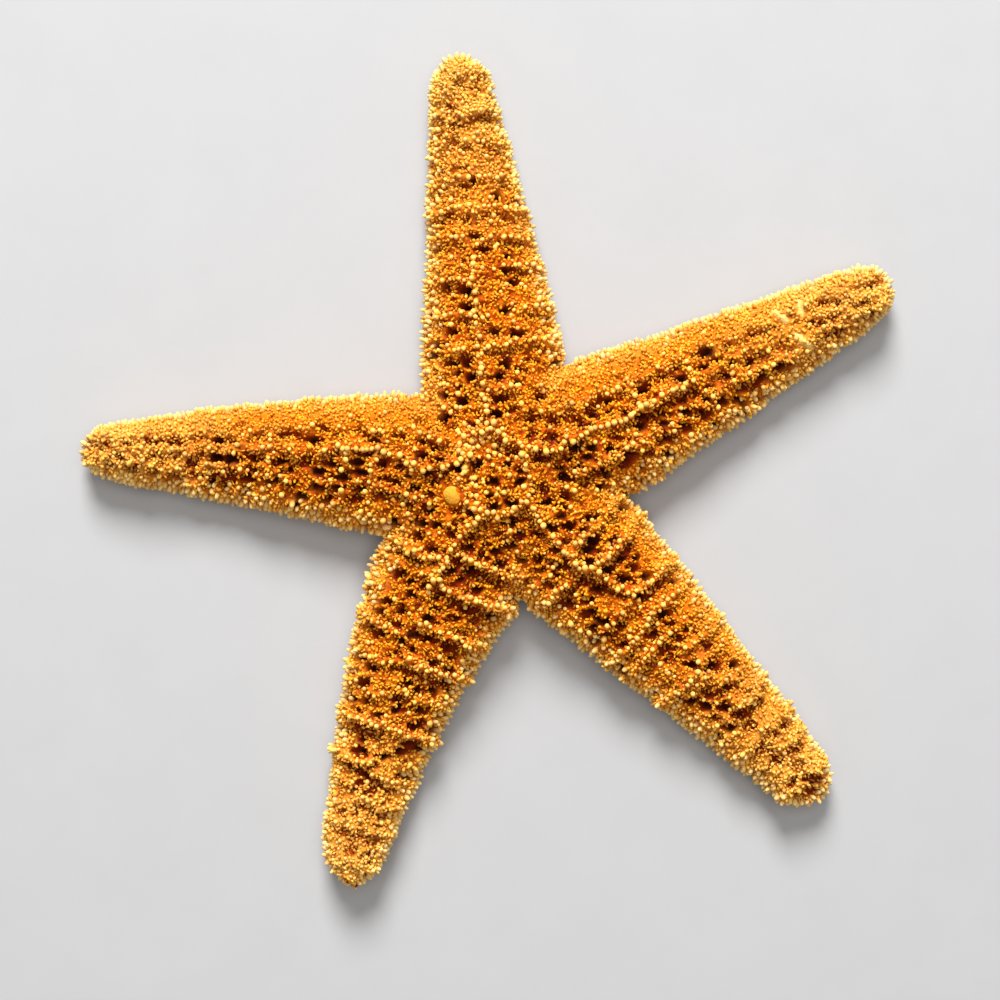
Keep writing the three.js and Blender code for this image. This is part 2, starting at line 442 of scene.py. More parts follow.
ring = np.array(RING) + CENTRE
beads = beads_along(ring, gap=1.3, width=1.35, skip=0.06, wander=0.25, clear=0.9)
beads += beads_along(ring, gap=1.5, width=1.1, skip=0.2, wander=1.0, clear=0)
beads += bead_patch(CLUSTER, radius=4, count=80, width=1.2)
beads += bead_patch(DISC_PATCH, radius=6, count=40, width=1.15)
for bearing in NOTCH_BEARINGS:
    heading = np.array([math.cos(math.radians(bearing)), math.sin(math.radians(bearing))])
    notch_row = CENTRE + np.outer(NOTCH_RUN, heading)
    beads += beads_along(notch_row, gap=1.7, width=1.25, skip=0.35, wander=0.5, clear=0.4)
for arm in ARMS:
    run = np.arange(arm.ridge[0, 0], arm.ridge[-2, 0], 1)
    row = arm.plan(run, arm.ridge_offset(run))
    beads += beads_along(row, gap=1.3, width=1.3, skip=0.06, wander=0.25, clear=arm.ridge_clear)
    run = np.arange(arm.ridge[-2, 0], arm.end - 6, 1)
    row = arm.plan(run, arm.ridge_offset(run))
    beads += beads_along(row, gap=1.5, width=1.2, skip=0.7, wander=0.35, clear=0.7 * arm.row_clear)
    for side in (-1, 1):
        near = side * arm.left[1] < 0
        rows = ((ROW_SHARE, 13, arm.row_clear, 1.15, 0.65 - 0.3 * arm.row_clear),
                (EDGE_ROW_SHARE, 24, 0, 1.35 if near else 1.15, 0.35 if near else 0.65))
        for share, start, clear, width, skip in rows:
            run = np.arange(start, arm.end - 3, 1)
            offsets = arm.ridge_offset(run) * (1 - share) + side * share * arm.half_width(run)
            offsets += rumple(np.outer(run, (1, 0, 0)) + 7 * side, 9)
            row = arm.plan(run, offsets * arm.rounding(run))
            beads += beads_along(row, gap=1.7, width=width, skip=skip, wander=0.5, clear=clear)
    rib = FIRST_RIB + dice.uniform(-1.5, 1.5)
    while rib < arm.end - 3:
        for side in (-1, 1):
            clear = arm.rib_clear * dice.uniform(0.4, 1.15)
            row = rib_line(arm, rib + dice.normal(0, 1.3), side)
            beads += beads_along(row, gap=1.2, width=1.15, skip=0.55 - 0.45 * clear, wander=0.22, clear=clear)
        rib += RIB_PITCH * (1 - 0.15 * arm.along(rib)) + dice.normal(0, 0.9)


def spread(points, gap):
    """The numbers of the points that are kept when none may lie nearer than gap to one kept before it."""
    cells = {}
    kept = []
    around = [(x, y, z) for x in (-1, 0, 1) for y in (-1, 0, 1) for z in (-1, 0, 1)]
    for number, point in enumerate(points):
        cell = tuple((point // gap).astype(int))
        near = (cells.get((cell[0] + x, cell[1] + y, cell[2] + z), ()) for x, y, z in around)
        if all((point[0] - q[0]) ** 2 + (point[1] - q[1]) ** 2 + (point[2] - q[2]) ** 2 >= gap * gap
               for group in near for q in group):
            cells.setdefault(cell, []).append(point)
            kept.append(number)
    return kept


def tree_of(plan):
    tree = KDTree(len(plan))
    for number, point in enumerate(plan):
        tree.insert((point[0], point[1], 0), number)
    tree.balance()
    return tree


def ranked(tree, plan, count):
    """The numbers of a tree's nearest points to each point of the plan, and how far off they are."""
    found = [tree.find_n((point[0], point[1], 0), count) for point in plan]
    return (np.array([[number for spot, number, gap in group] for group in found]),
            np.array([[gap for spot, number, gap in group] for group in found]))


def nearest(tree, plan):
    numbers, gaps = ranked(tree, plan, 1)
    return numbers[:, 0], gaps[:, 0]


beads = np.array(beads)
crest = beads[beads[:, 3] > 0.25]
crest_tree = tree_of(crest)
PLATE_PLACE = CENTRE + np.array([-10.6, -4.4])
PLATE_CLEARANCE = 2.7
BEAD_GAP = 0.95


def off_plate(plan):
    """How far each point of the plan lies from the middle of the sieve plate."""
    return np.linalg.norm(plan - PLATE_PLACE, axis=1)


def off_cluster(plan):
    """How far each point of the plan lies from the middle of the cluster of tubercles on the disc."""
    return np.linalg.norm(plan - CENTRE - CLUSTER, axis=1)


shown = (beads[:, 4] > 0) & (off_plate(beads[:, :2]) > PLATE_CLEARANCE)
shown &= dice.random(len(beads)) > 0.8 * eased(0.15, 0.6, far_side(beads[:, :2]))
beads = beads[shown, :3]
beads = beads[spread(flat(beads[:, :2]), BEAD_GAP)]

# Three pale healed scars across the right arm near its end, each a line of distances and offsets.
SCARS = [
    [(69.5, 5.2), (70.2, 4), (71, 2.6)],
    [(71.6, -0.6), (72, -2.4), (73.4, -4.6)],
    [(75.5, 5), (74.6, 2.6)],
]
scar_run = np.linspace(0, 1, 30)
scar_plan = []
for scar in SCARS:
    stops = np.linspace(0, 1, len(scar))
    told = [np.interp(scar_run, stops, column) for column in np.transpose(scar)]
    scar_plan.extend(ARMS[0].plan(*told))
scar_tree = tree_of(scar_plan)

# Between the rows the plates make an open net. Its meshes are hollows with soft skin at the bottom, deep on
# the disc and on the near side of each arm, shallow towards the ends.
MESH_GAP = 2.6
MESH_STRETCH = np.array([0.8, 1.25])
PLAN_TRIES = 60000
# On the arms that lie across, the hollows on the near side stand in two ladders, by their share of the
# width and their pitch.
LADDERS = ((0.22, 5.6), (0.62, 5))
LADDER_START = 15
LADDER_END = 0.68
plan_tries = CENTRE + dice.uniform(-100, 100, (PLAN_TRIES, 2))
try_owner, try_distance, try_offset = own_arm(plan_tries)
try_end = np.array([arm.end for arm in ARMS])[try_owner]
on_back = (np.abs(try_offset) < 0.97 * own_half(try_owner, try_distance)) & (try_distance < try_end - 2)
plan_tries = plan_tries[on_back]
meshes = []
for arm in ARMS:
    if arm.row_clear > 0.5:
        for share, pitch in LADDERS:
            run = np.arange(LADDER_START, LADDER_END * arm.end, pitch) + dice.normal(0, 0.4)
            inset = np.sign(arm.left[1]) * share * arm.half_width(run)
            meshes.extend(arm.plan(run, arm.ridge_offset(run) - inset))
ladder_count = len(meshes)
meshes.extend(plan_tries[nearest(crest_tree, plan_tries)[1] > 1.3])
meshes = np.array(meshes)
kept = np.array(spread(flat(meshes * MESH_STRETCH), MESH_GAP))
meshes = meshes[kept]
on_ladder = kept < ladder_count
mesh_tree = tree_of(meshes * MESH_STRETCH)
mesh_reach = own_reach(*own_arm(meshes)[:2])
mesh_depths = 1 - 0.3 * eased(0.35, 1, mesh_reach)
mesh_depths *= (1 - 0.7 * eased(0.1, 0.75, far_side(meshes))) * dice.uniform(0.1, 1.3, len(meshes))
# The meshes are also made deeper towards the near side of the starfish, which deepens their painted shade
# there.
mesh_depths *= 0.65 + 0.55 * eased(30, -15, meshes[:, 1])
mesh_depths[on_ladder] = np.maximum(mesh_depths[on_ladder], 0.7)


def hollow(plan):
    """How deep each point lies in a mesh of the net or under the near side of a row, from 0 to 1."""
    owner, distance, offset = own_arm(plan)
    sway = np.column_stack([rumple(flat(plan), 1.9), rumple(flat(plan) + 40, 1.9)])
    mesh, mesh_gaps = ranked(mesh_tree, (plan + 1.1 * sway) * MESH_STRETCH, 2)
    net = mesh_depths[mesh[:, 0]] * eased(0.1, 1.5, mesh_gaps[:, 1] - mesh_gaps[:, 0])
    row, gap = nearest(crest_tree, plan)
    near_side = eased(-0.15, 0.75, (crest[row, 1] - plan[:, 1]) / np.maximum(gap, 0.1))
    under_row = crest[row, 3] * eased(0.5, 1.4, gap) * (1 - eased(2, 4.6, gap)) * near_side
    calm = eased(0.3, 1, gap) * eased(2.2, 3.6, off_plate(plan))
    calm *= eased(0.8, 2.5, nearest(scar_tree, plan)[1])
    calm *= 1 - 0.75 * eased(0.65, 0.95, np.abs(offset) / own_half(owner, distance))
    calm *= 0.3 + 0.7 * eased(2.5, 5, off_cluster(plan))
    return (1 - (1 - 0.9 * np.clip(net, 0, 1)) * (1 - 0.95 * under_row)) * calm


# Smaller tubercles on the knots of the net.
KNOT_GAP = 1.6
knot_gaps = ranked(mesh_tree, plan_tries * MESH_STRETCH, 3)[1]
on_knot = (knot_gaps[:, 2] - knot_gaps[:, 0] < 0.5) & (off_plate(plan_tries) > PLATE_CLEARANCE)
knots = plan_tries[on_knot]
knots = knots[spread(flat(knots), KNOT_GAP)]
knot_share = 0.9 - 0.45 * eased(18, 32, np.linalg.norm(knots - CENTRE, axis=1))
knots = knots[(nearest(tree_of(beads), knots)[1] > 1.1) & (dice.random(len(knots)) < knot_share)]
beads = np.concatenate([beads, np.column_stack([knots, dice.uniform(0.65, 1.05, len(knots))])])

# Pits at the bottom of the deepest meshes, painted near black further on as painted shade.
PIT_WIDTHS = (1.2, 3.4)
PIT_DEPTHS = (0.6, 1.4)
PIT_REACH = 0.76
has_pit = (mesh_depths > 0.52) & (mesh_reach < PIT_REACH) & (dice.random(len(meshes)) < 0.9)
has_pit &= (nearest(scar_tree, meshes)[1] > 3) & (off_cluster(meshes) > 3.6) & (off_plate(meshes) > 4)
pits = meshes[has_pit]
pit_tree = tree_of(pits * MESH_STRETCH)
pit_radii = dice.uniform(*PIT_WIDTHS, len(pits)) / 2
pit_depths = dice.uniform(*PIT_DEPTHS, len(pits))
pit, pit_gap = nearest(pit_tree, beads[:, :2] * MESH_STRETCH)
beads = beads[pit_gap > 0.9 * pit_radii[pit]]
bead_tree = tree_of(beads)

# The groove under each arm, which ends in the mouth.
GROOVE_SHARE = 0.24
GROOVE_DEPTH = 3.2
MOUTH_RADIUS = 6
MOUTH_DEPTH = 5.5


def groove_rise(plan):
    """How far the grooves and the mouth are drawn up into the sole at each point of the plan."""
    rise = MOUTH_DEPTH * (1 - eased(0.3, 1, np.linalg.norm(plan - CENTRE, axis=1) / MOUTH_RADIUS))
    for arm in ARMS:
        distance, offset = arm.told(plan)
        half = arm.half_width(distance) * GROOVE_SHARE
        deep = GROOVE_DEPTH * (1 - 0.5 * arm.along(distance)) * (distance > 0) * (distance < arm.end - 2)
        rise = np.maximum(rise, deep * (1 - eased(0.35, 1, np.abs(offset) / half)))
    return rise


def paleness(plan):
    """How pale and worn the arm is, from 0 on the disc to 1 at its end, in loose patches."""
    owner, distance, offset = own_arm(plan)
    patches = 0.12 * rumple(flat(plan), 7)
    edge = 0.45 * eased(0.6, 0.95, np.abs(offset) / own_half(owner, distance) + patches)
    return np.maximum(eased(0.45, 1, own_reach(owner, distance) + patches), edge)


def strand(points):
    """Where the skin dried into raised strands: 1 on a strand and 0 between two."""
    return 1 - eased(0.04, 0.32, np.abs(rumple(points, 2)))


STRAND_RISE = 0.55
HOLLOW_DEPTH = 2.3
RUMPLE_RISE = 0.8
CREST_RISE = 1.6
CREST_WIDTH = 1.25
SCAR_RISE = 0.45
points, normals = read_mesh(skin)
plan = points[:, :2]
back = eased(-0.05, 0.35, normals[:, 2])
sole = eased(0.55, 0.9, -normals[:, 2])
row, row_gap = nearest(crest_tree, plan)
pit_sway = np.column_stack([rumple(points, 1.5), rumple(points + 40, 1.5)])
pit, pit_gap = nearest(pit_tree, (plan + 0.7 * pit_sway) * MESH_STRETCH)
scar_gap = nearest(scar_tree, plan)[1]
hollows = hollow(plan)
strands = strand(points)
crests = crest[row, 3] * np.exp(-((row_gap / CREST_WIDTH) ** 2))
pit_share = (1 - eased(0.25, 1.2, pit_gap / pit_radii[pit])) * back
scar_share = (1 - eased(0.3, 0.8, scar_gap)) * back
relief = (STRAND_RISE * strands - HOLLOW_DEPTH * hollows + CREST_RISE * crests) * back
relief += RUMPLE_RISE * rumple(points, 7) * eased(-0.6, 0.1, normals[:, 2])
relief += SCAR_RISE * scar_share - pit_share * pit_depths[pit]
points += normals * relief[:, None]
points[:, 2] += sole * groove_rise(plan)
write_mesh(skin, points)
mouth_share = sole * (1 - eased(0.3, 0.8, np.linalg.norm(plan - CENTRE, axis=1) / MOUTH_RADIUS))
groove_share = 0.5 * sole * np.clip(groove_rise(plan) / GROOVE_DEPTH, 0, 1)
# The pit mark paints the pits and the mouth near black, as painted shade.
write_attribute(skin.data, "pit", np.maximum(pit_share, mouth_share))
# The hollow mark is partly painted shade: down in the meshes, under the near side of each row and in the
# grooves under the arms it darkens the skin and the granules.
write_attribute(skin.data, "hollow", np.maximum(hollows * back, groove_share))
# The strand mark is also raised on each arm's far side, which faces the light, so the skin there is painted a
# lighter orange as painted light.
write_attribute(skin.data, "strand", np.maximum(strands, eased(0.1, 0.6, far_side(plan))))
worn_share = scar_share + 0.9 * sole
# The pale wear is held back down in the hollows, as part of their painted shade.
write_attribute(skin.data, "pale", np.maximum(paleness(plan) * (1 - hollows), worn_share))
write_attribute(skin.data, "scar", scar_share)


def shade_smooth(piece):
    bpy.ops.object.select_all(action="DESELECT")
    piece.select_set(True)
    bpy.context.view_layer.objects.active = piece
    bpy.ops.object.shade_smooth()


def dress(piece, material):
    piece.data.materials.append(material)
    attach(piece, "root")
    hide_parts("starfish")


shade_smooth(skin)
SKIN_ORANGE = (0.86, 0.28, 0.004)
SKIN_RUST = (0.40, 0.045, 0.0012)
SHADED_HOLLOW_BROWN = (0.20, 0.016, 0.0006)
PIT_SHADE = (0.022, 0.003, 0.0005)
SKIN_PALE = (0.78, 0.38, 0.045)
SCAR_CREAM = (0.88, 0.60, 0.18)
skin_finish = Finish("dried_skin", Roughness=0.9, Specular_IOR_Level=0.08)
# Painted light: the mottle goes to the lighter orange on the strands and on the arms' far sides, which face
# the light.
mottle = skin_finish.grain(1500) * 0.7 + skin_finish.attribute("strand") * 0.4 - 0.3
skin_colour = skin_finish.mixed(mottle, SKIN_RUST, SKIN_ORANGE)
skin_colour = skin_finish.mixed(skin_finish.attribute("pale") * 0.8, skin_colour, SKIN_PALE)
# Painted shade, partly the real brown skin at the bottom of the meshes: the skin turns dark brown where the
# hollow mark is high.
skin_colour = skin_finish.mixed(skin_finish.attribute("hollow") * 2.2 - 0.35, skin_colour, SHADED_HOLLOW_BROWN)
# Painted shade: the pits and the mouth turn near black.
skin_colour = skin_finish.mixed(skin_finish.attribute("pit"), skin_colour, PIT_SHADE)
skin_colour = skin_finish.mixed(skin_finish.attribute("scar"), skin_colour, SCAR_CREAM)
skin_finish.base(skin_colour)
skin_finish.bump(skin_finish.grain(1900, 4), 0.5 * MM, 1)
dress(skin, skin_finish.material)

# The tubercles
# Blunt round knobs of chalk under a thin skin, each on a short neck, that grew out of the plates along
# every row. Their heads are worn pale, and their necks keep the skin's orange.


def grown(sides, rings):
    """A knob or spine raised from a filled circle, by each ring's radius and height, to a point."""
    bpy.ops.object.select_all(action="DESELECT")
    bpy.ops.mesh.primitive_circle_add(vertices=sides, radius=rings[0][0], fill_type="NGON",
                                      enter_editmode=True, location=(0, 0, rings[0][1]))
    for (below, low), (radius, high) in zip(rings, rings[1:]):
        bpy.ops.mesh.extrude_region_move(TRANSFORM_OT_translate={"value": (0, 0, high - low)})
        if radius:
            growth = radius / below
            bpy.ops.transform.resize(value=(growth, growth, 1), center_override=(0, 0, high))
        else:
            bpy.ops.mesh.merge(type="CENTER")
    bpy.ops.mesh.select_all(action="SELECT")
    bpy.ops.mesh.normals_make_consistent(inside=False)
    bpy.ops.object.mode_set(mode="OBJECT")
    bpy.ops.object.transform_apply(location=True)
    set_in_order(bpy.context.object)
    mesh = bpy.context.object.data
    shape = np.array([point.co for point in mesh.vertices])
    corners = np.array([loop.vertex_index for loop in mesh.loops])
    starts = np.array([face.loop_start for face in mesh.polygons])
    bpy.data.objects.remove(bpy.context.object)
    return shape, corners, starts


def strewn(name, pattern, places, axes, radii, lengths, uneven, **marks):
    """Copies of a pattern in one mesh, each on its place along its axis, with its marks written on it."""
    shape, corners, starts = pattern
    count = len(places)
    axes = axes / np.linalg.norm(axes, axis=1, keepdims=True)
    helper = np.where(np.abs(axes[:, 2:]) < 0.9, [[0, 0, 1]], [[1, 0, 0]])
    first = np.cross(helper, axes)
    first /= np.linalg.norm(first, axis=1, keepdims=True)
    second = np.cross(axes, first)
    spin = dice.uniform(0, 2 * np.pi, count)[:, None]
    oval = dice.uniform(1 - uneven, 1 + uneven, (count, 1))
    sideways = (np.cos(spin) * first + np.sin(spin) * second) * radii[:, None] * oval
    forwards = (np.cos(spin) * second - np.sin(spin) * first) * radii[:, None] / oval
    upwards = axes * lengths[:, None]
    points = (places[:, None] + shape[None, :, :1] * sideways[:, None]
              + shape[None, :, 1:2] * forwards[:, None] + shape[None, :, 2:] * upwards[:, None])
    numbers = np.arange(count)[:, None]
    copies = bpy.data.meshes.new(name)
    copies.vertices.add(count * len(shape))
    copies.vertices.foreach_set("co", (points * MM).ravel())
    copies.loops.add(count * len(corners))
    copies.loops.foreach_set("vertex_index", (corners + numbers * len(shape)).ravel())
    copies.polygons.add(count * len(starts))
    copies.polygons.foreach_set("loop_start", (starts + numbers * len(corners)).ravel())
    copies.update(calc_edges=True)
    write_attribute(copies, "tip", np.tile(np.clip(shape[:, 2], 0, 1), count))
    for mark, values in marks.items():
        write_attribute(copies, mark, np.repeat(values, len(shape)))
    piece = bpy.data.objects.new(name, copies)
    bpy.context.scene.collection.objects.link(piece)
    shade_smooth(piece)
    return piece


def knob_finish(name, foot, body, tip, pale, hollow_shade_colour):
    """Chalky skin that goes from its foot's colour to its tip's, changed by each knob's own marks."""
    finish = Finish(name, Roughness=0.8, Specular_IOR_Level=0.12)
    stops = [(0, foot), (0.45, body), (0.95, tip)]
    colour = finish.node("ShaderNodeValToRGB", {"stops": stops}, {0: finish.attribute("tip")})
    colour = finish.mixed(finish.attribute("pale") * (0.5 + finish.attribute("tip") * 0.4), colour, pale)
    # Painted shade: knobs down in the hollows are darkened towards the hollow shade colour, most at their
    # feet.
    painted_shade = (finish.attribute("hollow") * 1.8 - 0.4) * (1.15 - finish.attribute("tip") * 0.6)
    colour = finish.mixed(painted_shade, colour, hollow_shade_colour)
    tone = 0.82 + finish.attribute("shade") * 0.34
    settings = {0: 0.492 + finish.attribute("shade") * 0.014, 2: tone, "Color": colour}
    finish.base(finish.node("ShaderNodeHueSaturation", None, settings))
    finish.bump(finish.grain(4200, 2), 0.1 * MM, 0.4)
    return finish.material


bead_pattern = grown(7, [(0.65, -0.45), (0.75, 0.15), (1, 0.5), (0.78, 0.86), (0, 1.03)])
skin_points = [point.co / MM for point in skin.data.vertices]
skin_surface = BVHTree.FromPolygons(skin_points, [face.vertices for face in skin.data.polygons])


def dropped(plan):
    """Where points of the plan meet the skin from above, and the skin's normals there."""
    hits = [skin_surface.ray_cast(Vector((x, y, 60)), Vector((0, 0, -1))) for x, y in plan]
    found = np.array([hit[0] is not None for hit in hits])
    return found, np.array([hit[0] for hit in hits if hit[0]]), np.array([hit[1] for hit in hits if hit[0]])


found, bead_places, bead_facing = dropped(beads[:, :2])
bead_pale = paleness(bead_places[:, :2])
bead_radii = beads[found, 2] / 2 * (1 - 0.25 * bead_pale)
bead_axes = bead_facing + [0, 0, 0.35] + dice.normal(0, 0.15, bead_facing.shape)
tubercles = strewn("tubercles", bead_pattern, bead_places, bead_axes, bead_radii,
                   bead_radii * 2 * dice.uniform(0.85, 1.2, len(bead_radii)), uneven=0.1,
                   shade=dice.random(len(bead_radii)), pale=bead_pale, hollow=np.zeros(len(bead_radii)))
dress(tubercles, knob_finish("tubercle_chalk", foot=(0.55, 0.15, 0.003), body=(0.80, 0.39, 0.04),
                             tip=(0.86, 0.51, 0.12), pale=(0.83, 0.51, 0.13), hollow_shade_colour=SHADED_HOLLOW_BROWN))

# The granules
# Small soft grains that crowd the skin between the rows, orange at their tops, with dark red feet that are
# partly painted shade between them, and darker down in the hollows as painted shade. They thin out at the
# pits, and towards the arm ends they are larger, paler and closer.
GRANULE_GAP = 0.6
GRANULE_TRIES = 200000
granule_pattern = grown(4, [(0.85, -0.3), (1, 0.35), (0.75, 0.88), (0, 1.02)])

skin.data.calc_loop_triangles()
points, normals = read_mesh(skin)
corners = np.array([triangle.vertices for triangle in skin.data.loop_triangles])
edges = points[corners[:, 1:]] - points[corners[:, :1]]
facing = np.cross(edges[:, 0], edges[:, 1])
areas = np.linalg.norm(facing, axis=1)
facing /= np.maximum(areas, 1e-12)[:, None]


def sampled(count, wanted):
    """Points spread at random over the wanted triangles of the skin, by area, with the normals there."""
    chances = areas * wanted
    chosen = dice.choice(len(corners), count, p=chances / chances.sum())
    shares = dice.dirichlet((1, 1, 1), count)
    places = (points[corners[chosen]] * shares[:, :, None]).sum(axis=1)
    return places, (normals[corners[chosen]] * shares[:, :, None]).sum(axis=1)


grain_places, grain_facing = sampled(GRANULE_TRIES, facing[:, 2] > 0.1)
kept = spread(grain_places, GRANULE_GAP)
grain_places, grain_facing = grain_places[kept], grain_facing[kept]
row, row_gap = nearest(bead_tree, grain_places[:, :2])
pit, pit_gap = nearest(pit_tree, grain_places[:, :2] * MESH_STRETCH)
scar_gap = nearest(scar_tree, grain_places[:, :2])[1]
grain_hollow = hollow(grain_places[:, :2])
clear = (row_gap > beads[row, 2] / 2 * 0.85) & (pit_gap > 0.85 * pit_radii[pit]) & (scar_gap > 0.9)
thick = np.maximum(strand(grain_places), 0.6 * paleness(grain_places[:, :2]))
crowding = (0.75 + 0.25 * thick) * (1 - 0.4 * grain_hollow)
clear &= (off_plate(grain_places[:, :2]) > 2.3) & (dice.random(len(clear)) < crowding)
grain_places, grain_facing, grain_hollow = grain_places[clear], grain_facing[clear], grain_hollow[clear]
thick = thick[clear]
row, row_gap = nearest(crest_tree, grain_places[:, :2])
# The granules' pale wear is held back down in the hollows, as part of their painted shade.
grain_pale = paleness(grain_places[:, :2]) * (1 - grain_hollow)
grain_pale = np.maximum(grain_pale, 0.6 * crest[row, 3] * np.exp(-((row_gap / 1.4) ** 2)))
grain_count = len(grain_places)
grain_radii = dice.uniform(0.28, 0.43, grain_count) * (1 + 0.25 * grain_pale) * (0.75 + 0.25 * thick)
grain_radii *= 1 - 0.25 * grain_hollow
grain_radii *= np.where(dice.random(grain_count) < 0.06, 1.4, 1)
grain_axes = 0.6 * grain_facing + [0, 0, 0.2] + dice.normal(0, 0.42, grain_facing.shape)
grain_lengths = dice.uniform(0.5, 1.05, grain_count)
grain_shade = 0.5 * dice.random(grain_count) + 0.5 * eased(-0.5, 0.5, rumple(grain_places, 5))
# The granules' dark red feet are partly painted shade in the gaps between them, and their colour darkens down
# in the hollows as painted shade.
granule_finish = knob_finish("granule_skin", foot=(0.45, 0.055, 0.0008), body=(0.76, 0.265, 0.003),
                             tip=(0.78, 0.37, 0.016), pale=(0.76, 0.44, 0.095), hollow_shade_colour=SHADED_HOLLOW_BROWN)
grain_owner = own_arm(grain_places[:, :2])[0]
for number, arm in enumerate(ARMS):
    own = grain_owner == number
    granules = strewn("granules_" + arm.name, granule_pattern, grain_places[own], grain_axes[own],
                      grain_radii[own], grain_lengths[own], uneven=0.3,
                      shade=grain_shade[own], pale=grain_pale[own], hollow=grain_hollow[own])
    dress(granules, granule_finish)

# The gills
# Soft thin fingers of skin that stood up out of the meshes of the net. They collapsed as the body dried
# and lie across the hollows.
GILL_GAP = 1.0
GILL_TRIES = 40000
gill_pattern = grown(5, [(0.9, -0.2), (1, 0.3), (0.85, 0.85), (0, 1)])
gill_places, gill_facing = sampled(GILL_TRIES, facing[:, 2] > 0.3)
kept = spread(gill_places, GILL_GAP)
gill_places, gill_facing = gill_places[kept], gill_facing[kept]
gill_hollow = hollow(gill_places[:, :2])
pit, pit_gap = nearest(pit_tree, gill_places[:, :2] * MESH_STRETCH)
clear = (gill_hollow > 0.18) & (dice.random(len(kept)) < 0.75) & (pit_gap > pit_radii[pit] + 0.3)
clear &= off_plate(gill_places[:, :2]) > 3
gill_places, gill_facing, gill_hollow = gill_places[clear], gill_facing[clear], gill_hollow[clear]
gill_count = len(gill_places)
gill_axes = 0.5 * gill_facing + dice.normal(0, 0.7, gill_facing.shape) * [1, 1, 0.4]
# Painted shade: the gills take the granules' finish, darkened by half of their depth in the hollows.
gills = strewn("gills", gill_pattern, gill_places, gill_axes, dice.uniform(0.2, 0.32, gill_count),
               dice.uniform(0.8, 1.6, gill_count), uneven=0.2, shade=dice.random(gill_count),
               pale=paleness(gill_places[:, :2]), hollow=0.5 * gill_hollow)
dress(gills, granule_finish)

# The fringe
# Blunt cone-shaped spines that stand out in rows along both edges of every arm and round its end, cream
# at their tips and orange where they leave the skin.
FRINGE_PITCH = 1.65
FRINGE_GAP = 1
# Each row's tilt and length, and the share of its spines that stand on the near and far sides of the arms.
FRINGE_ROWS = ((-0.35, 1.5, 1, 1), (-0.05, 1.6, 1, 1), (0.26, 1.4, 0.95, 0.95), (0.56, 1.25, 0.8, 0.3),
               (0.84, 1.1, 0.5, 0.05))
fringe_pattern = grown(6, [(0.9, -0.3), (1, 0.15), (0.92, 0.6), (0.58, 0.92), (0, 1.04)])


def edge_line(arm):
    """An arm's edge from its right root round the end to its left root, with outward headings."""
    round_end = arm.end - arm.end_width / 2 * (1 - np.sin(np.linspace(0, np.pi / 2, 30)[1:]))
    run = np.concatenate([np.linspace(ROOT - 2, arm.round_start, 60), round_end])
    half = arm.half_width(run) * arm.rounding(run)
    line = np.concatenate([arm.plan(run, -half), arm.plan(run, half)[::-1][1:]])
    distances = np.concatenate([run, run[::-1][1:]])
    heading = np.gradient(line, axis=0)
    outward = np.column_stack([heading[:, 1], -heading[:, 0]])
    return line, distances, outward / np.linalg.norm(outward, axis=1, keepdims=True)


fringe = []
for arm in ARMS:
    line, distances, outward = edge_line(arm)
    run = np.concatenate([[0], np.cumsum(np.linalg.norm(np.diff(line, axis=0), axis=1))])
    for number, (slope, length, near_share, far_share) in enumerate(FRINGE_ROWS):
        for stop in np.arange(FRINGE_PITCH * (number % 2) / 2, run[-1], FRINGE_PITCH):
            stop += dice.normal(0, 0.2)
            distance = np.interp(stop, run, distances)
            aim = np.array([np.interp(stop, run, outward[:, axis]) for axis in (0, 1)])
            tilt = slope + dice.normal(0, 0.04)
            aim = np.array([*(aim * math.cos(tilt)), math.sin(tilt)])
            inset = 0.55 * arm.half_width(distance)
            level = arm.height(distance) * EDGE_SHARE + arm.lift(distance)
            middle = np.array([*(np.interp(stop, run, line[:, axis]) for axis in (0, 1)), level])
            middle[:2] -= inset * aim[:2] / math.cos(tilt)
            hit, hit_facing = skin_surface.ray_cast(Vector(middle + 25 * aim), Vector(-aim), 26)[:2]
            share = near_share + (far_share - near_share) * eased(-0.3, 0.6, aim[1])
            if hit is not None and dice.random() < share:
                axis = np.array(hit_facing) * 0.7 + aim * 0.5 + dice.normal(0, 0.1, 3)
                fringe.append([*hit, *axis, length * dice.uniform(0.85, 1.15)])
fringe = np.array(fringe)
fringe = fringe[spread(fringe[:, :3], FRINGE_GAP)]
fringe_count = len(fringe)
fringe_pale = np.maximum(paleness(fringe[:, :2]), dice.uniform(0.4, 1, fringe_count))
fringe_piece = strewn("fringe_spines", fringe_pattern, fringe[:, :3], fringe[:, 3:6],
                      dice.uniform(0.5, 0.66, fringe_count), fringe[:, 6], uneven=0.1,
                      shade=dice.random(fringe_count), pale=fringe_pale, hollow=np.zeros(fringe_count))
dress(fringe_piece, knob_finish("fringe_chalk", foot=(0.44, 0.09, 0.002), body=(0.74, 0.35, 0.035),
                                tip=(0.78, 0.49, 0.14), pale=(0.79, 0.56, 0.22), hollow_shade_colour=SHADED_HOLLOW_BROWN))

